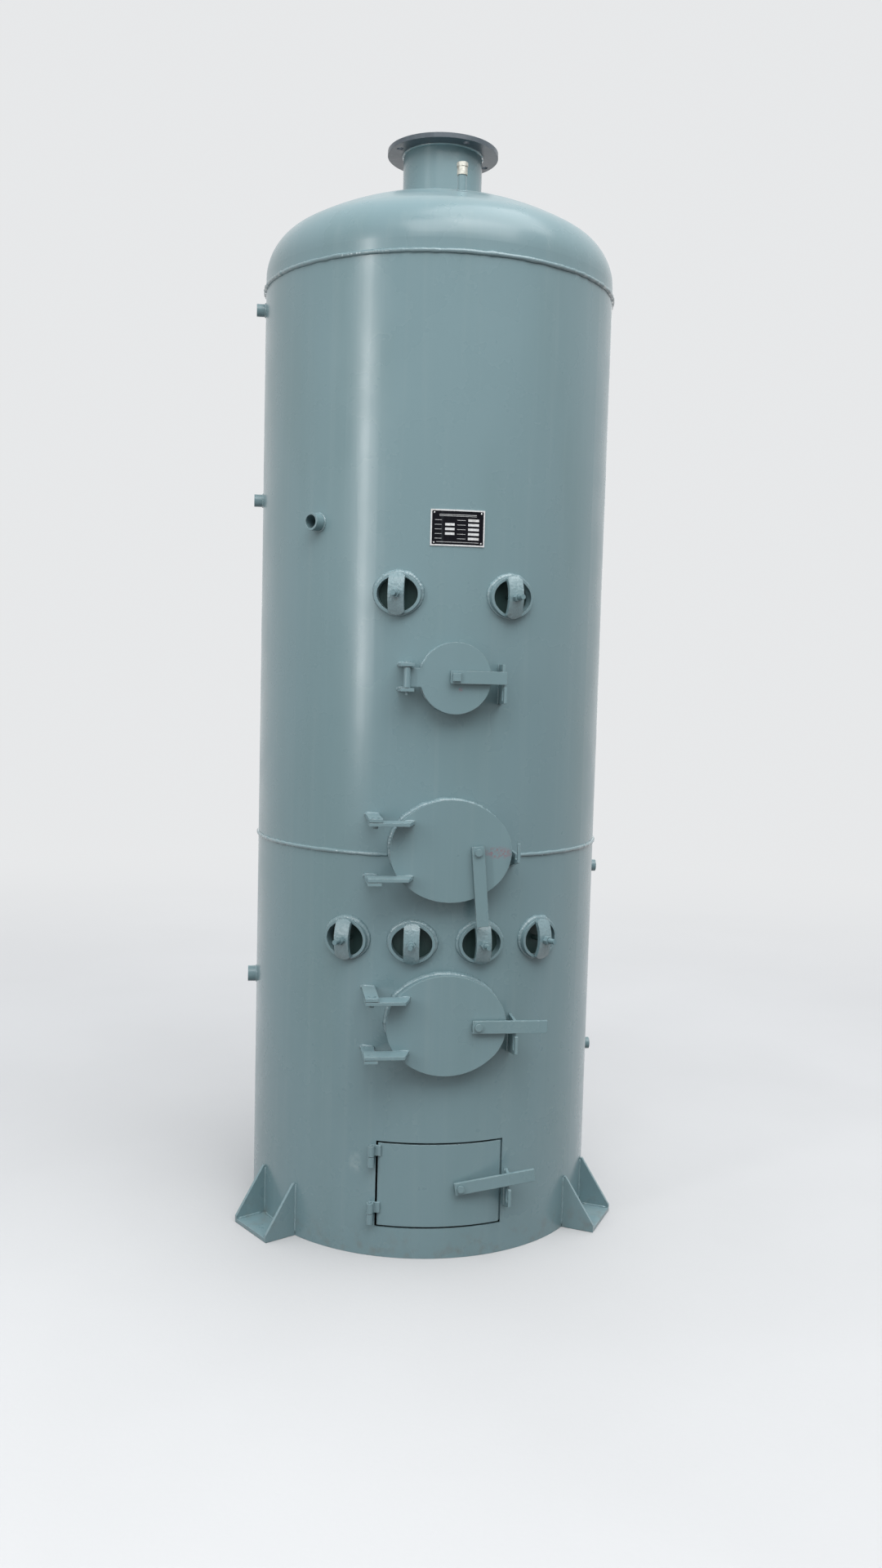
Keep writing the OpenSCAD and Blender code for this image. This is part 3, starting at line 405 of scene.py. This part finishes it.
def bead_mesh(path, radius, closed, seed):
    """Verts and faces of a lumpy weld bead along path, a list of (point, outward, size)."""
    count, sides = len(path), BEAD_SIDES
    verts, faces = [], []
    run = 0.0
    for i, (point, outward, size) in enumerate(path):
        if closed:
            before, after = path[i - 1][0], path[(i + 1) % count][0]
        else:
            before, after = path[max(i - 1, 0)][0], path[min(i + 1, count - 1)][0]
        tangent = (after - before).normalized()
        side = tangent.cross(outward).normalized()
        top = side.cross(tangent).normalized()
        run += (point - path[i - 1][0]).length if i else 0.0
        lump = noise.noise(point * 70.0 + Vector((seed, 0, 0)))
        wave = math.sin(2 * math.pi * run / RIPPLE_PITCH + 3.0 * lump)
        ripple = size * (1.0 + 0.05 * wave + 0.26 * lump)
        if not closed:
            ends = min(i, count - 1 - i)
            ripple *= min(1.0, 0.45 + 0.2 * ends)
        shift = side * (0.12 * radius * noise.noise(point * 40.0 + Vector((0, seed, 0))))
        for k in range(sides):
            a = 2 * math.pi * k / sides
            verts.append(point + shift + (side * math.cos(a) + top * math.sin(a)) * radius * ripple)
    for i in range(count if closed else count - 1):
        j = (i + 1) % count
        for k in range(sides):
            m = (k + 1) % sides
            faces.append((i * sides + k, j * sides + k, j * sides + m, i * sides + m))
    if not closed:
        faces.append(tuple(range(sides)))
        faces.append(tuple((count - 1) * sides + k for k in reversed(range(sides))))
    return verts, faces


def add_beads(name, paths, radius, body="boiler", closed=True):
    beads = [bead_mesh(path, radius, closed, seed * 7.3) for seed, path in enumerate(paths)]
    add_piece(name, *joined(beads), WELD, body)


def girth(z, start_deg=-180.0, end_deg=180.0):
    """Path of a seam round the shell."""
    count = int(math.radians(end_deg - start_deg) * SHELL_R / SEAM_STEP)
    whole = end_deg - start_deg > 359.9
    out = []
    for i in range(count + (0 if whole else 1)):
        deg = start_deg + (end_deg - start_deg) * i / count
        point = turned(deg, 0.0, -SHELL_R, z)
        out.append((point, Vector((point.x, point.y, 0)).normalized(), 1.0))
    return out


def oval_outline(a, b, end_r, count):
    """Points and outward normals of the four-arc oval that the openings use."""
    c = a - end_r
    if c < 1e-9:
        return [((a * math.cos(t), a * math.sin(t)), (math.cos(t), math.sin(t)))
                for t in (2 * math.pi * i / count for i in range(count))]
    d = (c * c - (b - end_r) ** 2) / (2 * (b - end_r))
    join = math.atan2(d, c)
    arcs = [(c, 0.0, end_r, -join, join),
            (0.0, -d, b + d, join, math.pi - join),
            (-c, 0.0, end_r, math.pi - join, math.pi + join),
            (0.0, d, b + d, math.pi + join, 2 * math.pi - join)]
    total = sum(r * (t1 - t0) for _, _, r, t0, t1 in arcs)
    out = []
    for x, y, r, t0, t1 in arcs:
        n = max(3, round(count * r * (t1 - t0) / total))
        for i in range(n):
            t = t0 + (t1 - t0) * i / n
            out.append(((x + r * math.cos(t), y + r * math.sin(t)), (math.cos(t), math.sin(t))))
    return out


def collar(deg, z, a, b, end_r, step=BEAD_STEP, heavy_top=0.0):
    """Path of the fillet weld where an oval stub leaves the shell, fuller above by heavy_top."""
    count = int(2 * math.pi * max(a, b) / step)
    out = []
    for (u, v), (nu, nv) in oval_outline(a, b, end_r, count):
        point = on_shell(deg, u, z + v)
        skin = Vector((point.x, point.y, 0)).normalized()
        away = turned(deg, nu, 0.0, nv)
        out.append((point, (skin + away).normalized(), 1.0 + heavy_top * nv))
    return out


def flat_ring(radius, height, outward_up, step=BEAD_STEP, centre=(0.0, 0.0)):
    """Path round a vertical pipe. height is a number, or a function of the distance from the axis."""
    count = int(2 * math.pi * radius / step)
    out = []
    for i in range(count):
        t = 2 * math.pi * i / count
        x, y = centre[0] + radius * math.cos(t), centre[1] + radius * math.sin(t)
        z = height(math.hypot(x, y)) if callable(height) else height
        out.append((Vector((x, y, z)), Vector((math.cos(t), math.sin(t), outward_up)).normalized(), 1.0))
    return out


def line(start, end, outward):
    count = max(4, int((end - start).length / BEAD_STEP))
    return [(start.lerp(end, i / count), outward, 1.0) for i in range(count + 1)]


def shell_line(u0, z0, u1, z1, outward, deg=0.0):
    count = max(4, int(math.hypot(u1 - u0, z1 - z0) / BEAD_STEP))
    return [(on_shell(deg, u0 + (u1 - u0) * i / count, z0 + (z1 - z0) * i / count), outward, 1.0)
            for i in range(count + 1)]


# Seams, and fillets round doors and handholes. The ring seam stops at the upper fire door
SEAM_END = math.degrees(math.asin(FIRE_A / SHELL_R)) + 0.6
add_beads("ring_seam", [girth(SEAM_Z, SEAM_END, 360.0 - SEAM_END)], radius=0.0050, closed=False)
add_beads("head_seam", [girth(HEAD_Z)], radius=0.0058)
add_beads("fire_door_welds", [collar(0, z, FIRE_A, FIRE_B, FIRE_E, heavy_top=0.25)
                              for z in (UPPER_FIRE_Z, LOWER_FIRE_Z)], radius=0.0072)
add_beads("flue_door_weld", [collar(0, FLUE_Z, FLUE_R, FLUE_R, FLUE_R)], radius=0.0052)
add_beads("handhole_welds", [collar(d, z, HAND_A, HAND_B, HAND_E, heavy_top=0.5)
                             for d, z in HANDHOLES], radius=0.0060)

# Sockets: angle, height and outer radius
SOCKETS = [(-90, 2.345, 0.016), (-90, 1.862, 0.016), (-90, 0.608, 0.021), (-45, 1.780, 0.021),
           (90, 0.907, 0.016), (90, 0.405, 0.016)]
add_beads("socket_welds", [collar(d, z, r, r, r, step=0.0016) for d, z, r in SOCKETS], radius=0.0030)

# Chimney neck, its flange, and the vent on the head
VENT_R = 0.0107
vent_low, vent_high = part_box("vent_cap")
vent_centre = ((vent_low.x + vent_high.x) / 2, (vent_low.y + vent_high.y) / 2)
add_beads("neck_weld", [flat_ring(NECK_R, head_top, 1.0)], radius=0.0050)
add_beads("flange_weld", [flat_ring(NECK_R, FLANGE_Z, -1.0)], radius=0.0042)
add_beads("vent_weld", [flat_ring(VENT_R, head_top, 1.0, 0.0012, vent_centre)], radius=0.0026)


# Fillets of lugs and keepers
def skin_rects(node):
    """For each loose part of a CAD node, the box (x0, x1, z0, z1) of what lies on the shell."""
    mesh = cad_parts[node].data
    group = list(range(len(mesh.vertices)))

    def top(i):
        while group[i] != i:
            group[i] = group[group[i]]
            i = group[i]
        return i

    for edge in mesh.edges:
        a, b = top(edge.vertices[0]), top(edge.vertices[1])
        group[max(a, b)] = min(a, b)
    parts = {}
    for vert in mesh.vertices:
        if abs(math.hypot(vert.co.x, vert.co.y) - SHELL_R) < 0.002:
            parts.setdefault(top(vert.index), []).append(vert.co)
    return [(min(c.x for c in p), max(c.x for c in p), min(c.z for c in p), max(c.z for c in p))
            for _, p in sorted(parts.items())]


def upright_fillets(x0, x1, z0, z1):
    return [shell_line(edge, z0, edge, z1, Vector((side * 0.7, -0.7, 0)).normalized())
            for edge, side in ((x0, -1), (x1, 1))]


def level_fillets(x0, x1, z0, z1):
    return [shell_line(x0, edge, x1, edge, Vector((x0 * 1.5, -0.9, up)).normalized())
            for edge, up in ((z0, -0.5), (z1, 0.5))]


lug_lines = []
for node in ("upper_fire_door_lugs", "lower_fire_door_lugs", "flue_door_lugs"):
    for rect in skin_rects(node):
        lug_lines += level_fillets(*rect) + upright_fillets(*rect)
add_beads("lug_welds", lug_lines, radius=0.0032, closed=False)

keeper_lines = []
for rect in skin_rects("door_keepers"):
    keeper_lines += upright_fillets(*rect)
add_beads("keeper_welds", keeper_lines, radius=0.0032, closed=False)

# Feet: the gussets' outer and inner faces with the heights of their welds, then the base plate
FEET = (-60.0, 60.0, 180.0)
GUSSET_OUT, OUT_LOW, OUT_HIGH = 0.078, 0.006, 0.133
GUSSET_IN, IN_LOW, IN_HIGH = 0.070, 0.011, 0.131
BASE_TOP, BASE_NEAR, BASE_FAR, BASE_HALF = 0.0105, 0.455, 0.522, 0.068


def foot_fillets(deg):
    lines = []
    for side in (-1, 1):
        outward = turned(deg, side * 0.7, -0.7, 0.0).normalized()
        lines.append(shell_line(side * GUSSET_OUT, OUT_LOW, side * GUSSET_OUT, OUT_HIGH, outward, deg))
        outward = turned(deg, -side * 0.7, -0.7, 0.0).normalized()
        lines.append(shell_line(side * GUSSET_IN, IN_LOW, side * GUSSET_IN, IN_HIGH, outward, deg))
        start = turned(deg, side * GUSSET_IN, -BASE_NEAR, BASE_TOP)
        end = turned(deg, side * GUSSET_IN, -BASE_FAR, BASE_TOP)
        lines.append(line(start, end, turned(deg, -side, 0, 1).normalized()))
    outward = turned(deg, 0, -0.7, 0.7).normalized()
    lines.append(shell_line(-BASE_HALF, BASE_TOP, BASE_HALF, BASE_TOP, outward, deg))
    return lines


add_beads("foot_welds", sum((foot_fillets(deg) for deg in FEET), []), radius=0.0034, closed=False)

# Ends of the hinge arms on the fire doors
DOOR_FACE_Y = -0.4883
ARM_UP, ARM_DOWN, ARM_HALF, ARM_START_X, ARM_END_X = 0.068, 0.062, 0.004, -0.112, -0.088
for name, z in (("upper_fire_door", UPPER_FIRE_Z), ("lower_fire_door", LOWER_FIRE_Z)):
    lines = []
    for middle in (z + ARM_UP, z - ARM_DOWN):
        for side in (-1, 1):
            edge = middle + side * ARM_HALF
            start, end = Vector((ARM_START_X, DOOR_FACE_Y, edge)), Vector((ARM_END_X, DOOR_FACE_Y, edge))
            lines.append(line(start, end, Vector((0, -0.7, side * 0.7)).normalized()))
    add_beads(name + "_arm_welds", lines, radius=0.0026, body=name + "_leaf", closed=False)


# Threads of the handhole studs
def thread_mesh(deg, z):
    """Verts and faces of one stud's thread, from inside the nut to the stud's end."""
    sides, pitch, root, crest = 18, 0.00175, 0.00602, 0.00645
    start_y, end_y = YOKE_TOP_R + 0.0126, YOKE_TOP_R + 0.0315
    turns = int((end_y - start_y) / pitch)
    profile = ((0.0, root), (0.42, crest), (0.58, crest))
    verts = []
    for turn in range(turns):
        for part, r in profile:
            y = start_y + (turn + part) * pitch
            for k in range(sides):
                a = 2 * math.pi * k / sides
                verts.append(turned(deg, r * math.cos(a), -y, z + r * math.sin(a)))
    return verts, ring_faces(turns * len(profile), sides)


add_piece("stud_threads", *joined(thread_mesh(deg, z) for deg, z in HANDHOLES), FITTING)


# Nameplate: black field, ruled lines and bare blocks, rivets
def curved_pad(x0, x1, z0, z1, radius, thick):
    """A thin raised pad that follows the shell."""
    verts, faces = [], []
    count = max(1, int((x1 - x0) / 0.006))
    for i in range(count + 1):
        x = x0 + (x1 - x0) * i / count
        a = math.asin(x / radius)
        for r in (radius, radius + thick):
            for z in (z0, z1):
                verts.append(Vector((r * math.sin(a), -r * math.cos(a), z)))
    for i in range(count):
        p, q = i * 4, i * 4 + 4
        faces += [(p + 2, p + 3, q + 3, q + 2), (p, q, q + 1, p + 1),
                  (p + 1, q + 1, q + 3, p + 3), (p, p + 2, q + 2, q)]
    end = count * 4
    faces += [(0, 1, 3, 2), (end, end + 2, end + 3, end + 1)]
    return verts, faces


def dome_cap(centre, outward, radius, height, rings=4, sides=14):
    """Verts and faces of a rivet head."""
    side = outward.orthogonal().normalized()
    other = outward.cross(side)
    verts = []
    for i in range(rings):
        t = math.pi / 2 * i / rings
        for k in range(sides):
            a = 2 * math.pi * k / sides
            verts.append(centre + (side * math.cos(a) + other * math.sin(a)) * radius * math.cos(t)
                         + outward * height * math.sin(t))
    verts.append(centre + outward * height)
    last = (rings - 1) * sides
    faces = ring_faces(rings, sides)
    faces += [(last + k, last + (k + 1) % sides, rings * sides) for k in range(sides)]
    faces.append(tuple(reversed(range(sides))))
    return verts, faces


PLATE_LOW, PLATE_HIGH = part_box("nameplate")
PX, PZ0, PZ1 = PLATE_HIGH.x, PLATE_LOW.z, PLATE_HIGH.z
PLATE_R = SHELL_R + 0.0023
RIM = 0.0034
FIRST_ROW, ROW_PITCH, ROWS = 0.0210, 0.0106, 5
BLOCK_HIGH, LINE_TOP, LINE_LOW = 0.0058, 0.0032, 0.0040
RIVET_IN_X, RIVET_IN_Z = 0.0085, 0.0075

field = curved_pad(-PX + RIM, PX - RIM, PZ0 + RIM, PZ1 - RIM, PLATE_R, thick=0.00025)
add_piece("nameplate_field", *field, LABEL, slot="zinc", smooth=False)

pads = []
for row in range(ROWS):
    top = PZ1 - FIRST_ROW - row * ROW_PITCH
    if 0 < row < ROWS - 1:
        pads.append((-0.0300, -0.0080, top - BLOCK_HIGH, top))
    pads.append((0.0240, 0.0500, top - BLOCK_HIGH, top))
    pads.append((-0.0540, -0.0380, top - LINE_LOW, top - LINE_TOP))
    pads.append((-0.0020, 0.0180, top - LINE_LOW, top - LINE_TOP))
pads += [(-0.044, 0.044, PZ1 - 0.0125, PZ1 - 0.0115), (-0.044, 0.044, PZ1 - 0.0155, PZ1 - 0.0148),
         (-0.050, 0.050, PZ0 + 0.0085, PZ0 + 0.0093)]
blocks = joined(curved_pad(*pad, PLATE_R, thick=0.0005) for pad in pads)
add_piece("nameplate_fields", *blocks, LABEL_METAL, slot="zinc", smooth=False)

rivets = []
for side in (-1, 1):
    for z in (PZ0 + RIVET_IN_Z, PZ1 - RIVET_IN_Z):
        a = math.asin(side * (PX - RIVET_IN_X) / PLATE_R)
        outward = Vector((math.sin(a), -math.cos(a), 0))
        centre = outward * (PLATE_R - 0.0001) + Vector((0, 0, z))
        rivets.append(dome_cap(centre, outward, radius=0.0021, height=0.0013))
add_piece("nameplate_rivets", *joined(rivets), LABEL_METAL, slot="zinc")


# Stage: a pale floor that runs into the backdrop, darker only for the light that it throws back
BACKDROP = (0.80, 0.81, 0.82)


def floor_material():
    s = Shader("floor_pale")
    pale = s.mix(s.span(s.noise(0.8, 4.0, 0.5), 0.3, 0.7), (0.54, 0.54, 0.54), (0.515, 0.515, 0.515))
    seen = s.seen()
    s.finish(s.mix(seen, (0.08, 0.08, 0.078), pale), 0.85, s.bump(s.noise(80.0, 3.0, 0.5), 0.0004))
    glow = s.node("ShaderNodeEmission")
    glow.inputs["Color"].default_value = (*BACKDROP, 1.0)
    far = s.math("MULTIPLY", seen, s.span(s.off_axis(), 1.6, 6.5))
    s.put(s.surface, s.blend(far, s.bsdf.outputs[0], glow.outputs[0]))
    return s.mat


def add_floor():
    half, z = 40.0, FLOOR_Z - 0.0004
    mesh = bpy.data.meshes.new("floor")
    corners = [(-half, -half, z), (half, -half, z), (half, half, z), (-half, half, z)]
    mesh.from_pydata(corners, [], [(0, 1, 2, 3)])
    mesh.materials.append(floor_material())
    floor = bpy.data.objects.new("floor", mesh)
    bpy.context.scene.collection.objects.link(floor)


def add_world():
    """A flat backdrop for what is seen, and a sky that is brighter above for the light."""
    world = bpy.data.worlds.new("world")
    bpy.context.scene.world = world
    world.use_nodes = True
    world.cycles.sampling_method = "NONE"
    w = Nodes(world.node_tree)
    backdrop = w.node("ShaderNodeBackground")
    backdrop.inputs["Color"].default_value = (*BACKDROP, 1.0)
    sky = w.node("ShaderNodeBackground")
    sky.inputs["Color"].default_value = (0.93, 0.96, 1.0, 1.0)
    height = w.axis(w.node("ShaderNodeTexCoord").outputs["Generated"], 2)
    w.put(sky.inputs["Strength"], w.map_range(height, 0.0, 1.0, 0.08, 1.60, "LINEAR"))
    blended = w.blend(w.seen(), sky.outputs[0], backdrop.outputs[0])
    w.put(w.node("ShaderNodeOutputWorld").inputs[0], blended)


def around(deg, distance, z):
    a = math.radians(deg)
    return Vector((distance * math.sin(a), -distance * math.cos(a), z))


def add_lamp(name, place, aim_z, size, power):
    """An area lamp that looks at the axis at the height aim_z. size is its width and height."""
    lamp = bpy.data.lights.new(name, "AREA")
    lamp.shape = "RECTANGLE"
    lamp.size, lamp.size_y = size
    lamp.energy = power
    made = bpy.data.objects.new(name, lamp)
    made.location = place
    made.rotation_euler = (Vector((0, 0, aim_z)) - place).to_track_quat("-Z", "Y").to_euler()
    bpy.context.scene.collection.objects.link(made)


# A narrow strip for the long highlight, wide soft light in front, light on the dome, light behind
add_floor()
add_lamp("key_strip", around(-50, 3.6, 2.35), aim_z=1.75, size=(0.34, 2.6), power=34)
add_lamp("front_high", around(8, 4.6, 6.2), aim_z=1.7, size=(7.0, 3.0), power=210)
add_lamp("dome_soft", around(42, 1.9, 6.2), aim_z=2.4, size=(4.4, 3.2), power=105)
add_lamp("back_soft", around(172, 6.5, 2.6), aim_z=1.3, size=(4.0, 3.4), power=45)
add_world()

# Camera at the photograph's place, worked out from the shell's outlines
EYE, LENS_MM = (-0.4509, -3.569, 1.4523), 30.64
YAW, PITCH, ROLL = math.radians(7.8), math.radians(-5.17), math.radians(1.51)


def add_camera():
    forward = Vector((math.sin(YAW) * math.cos(PITCH), math.cos(YAW) * math.cos(PITCH), math.sin(PITCH)))
    right = Vector((math.cos(YAW), -math.sin(YAW), 0.0))
    above = right.cross(forward)
    cam_x = math.cos(ROLL) * right + math.sin(ROLL) * above
    cam_y = -math.sin(ROLL) * right + math.cos(ROLL) * above
    camera = bpy.data.objects.new("camera", bpy.data.cameras.new("camera"))
    camera.data.sensor_width = 36.0
    camera.data.lens = LENS_MM
    camera.data.clip_end = 200.0
    turn = Matrix((cam_x, cam_y, -forward)).transposed().to_4x4()
    camera.matrix_world = Matrix.Translation(EYE) @ turn
    bpy.context.scene.collection.objects.link(camera)
    bpy.context.scene.camera = camera


add_camera()
bpy.context.scene.view_settings.view_transform = "Standard"
